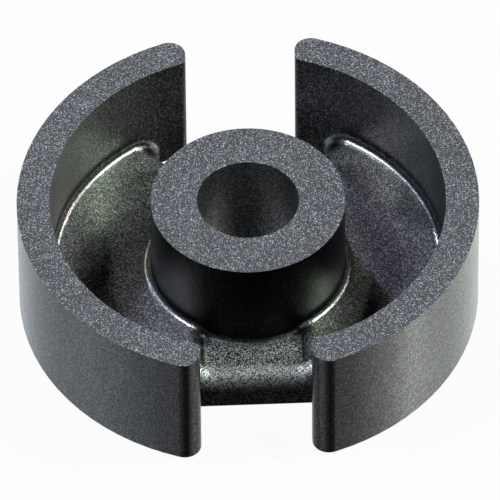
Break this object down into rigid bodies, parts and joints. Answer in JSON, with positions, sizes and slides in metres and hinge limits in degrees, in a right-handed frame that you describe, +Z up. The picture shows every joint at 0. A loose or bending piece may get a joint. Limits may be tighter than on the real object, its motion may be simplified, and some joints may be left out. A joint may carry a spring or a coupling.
{
  "type": "ferrite pot core half",
  "caption": "Open round ferrite cup with a hollow centre post, ground top faces, and two wire slots joined by a shallow channel.",
  "frame": {"origin": "on the axis of the centre post, at the flat underside", "axes": "+Z up the post, towards the ground mating faces; the two wire slots open along +Y and -Y"},
  "size_m": [0.014, 0.0132, 0.0041],
  "materials": {
    "ferrite": "satin as fired, with ground mating faces"
  },
  "bodies": {
    "root": {"core_half": "ferrite"}
  },
  "joints": []
}
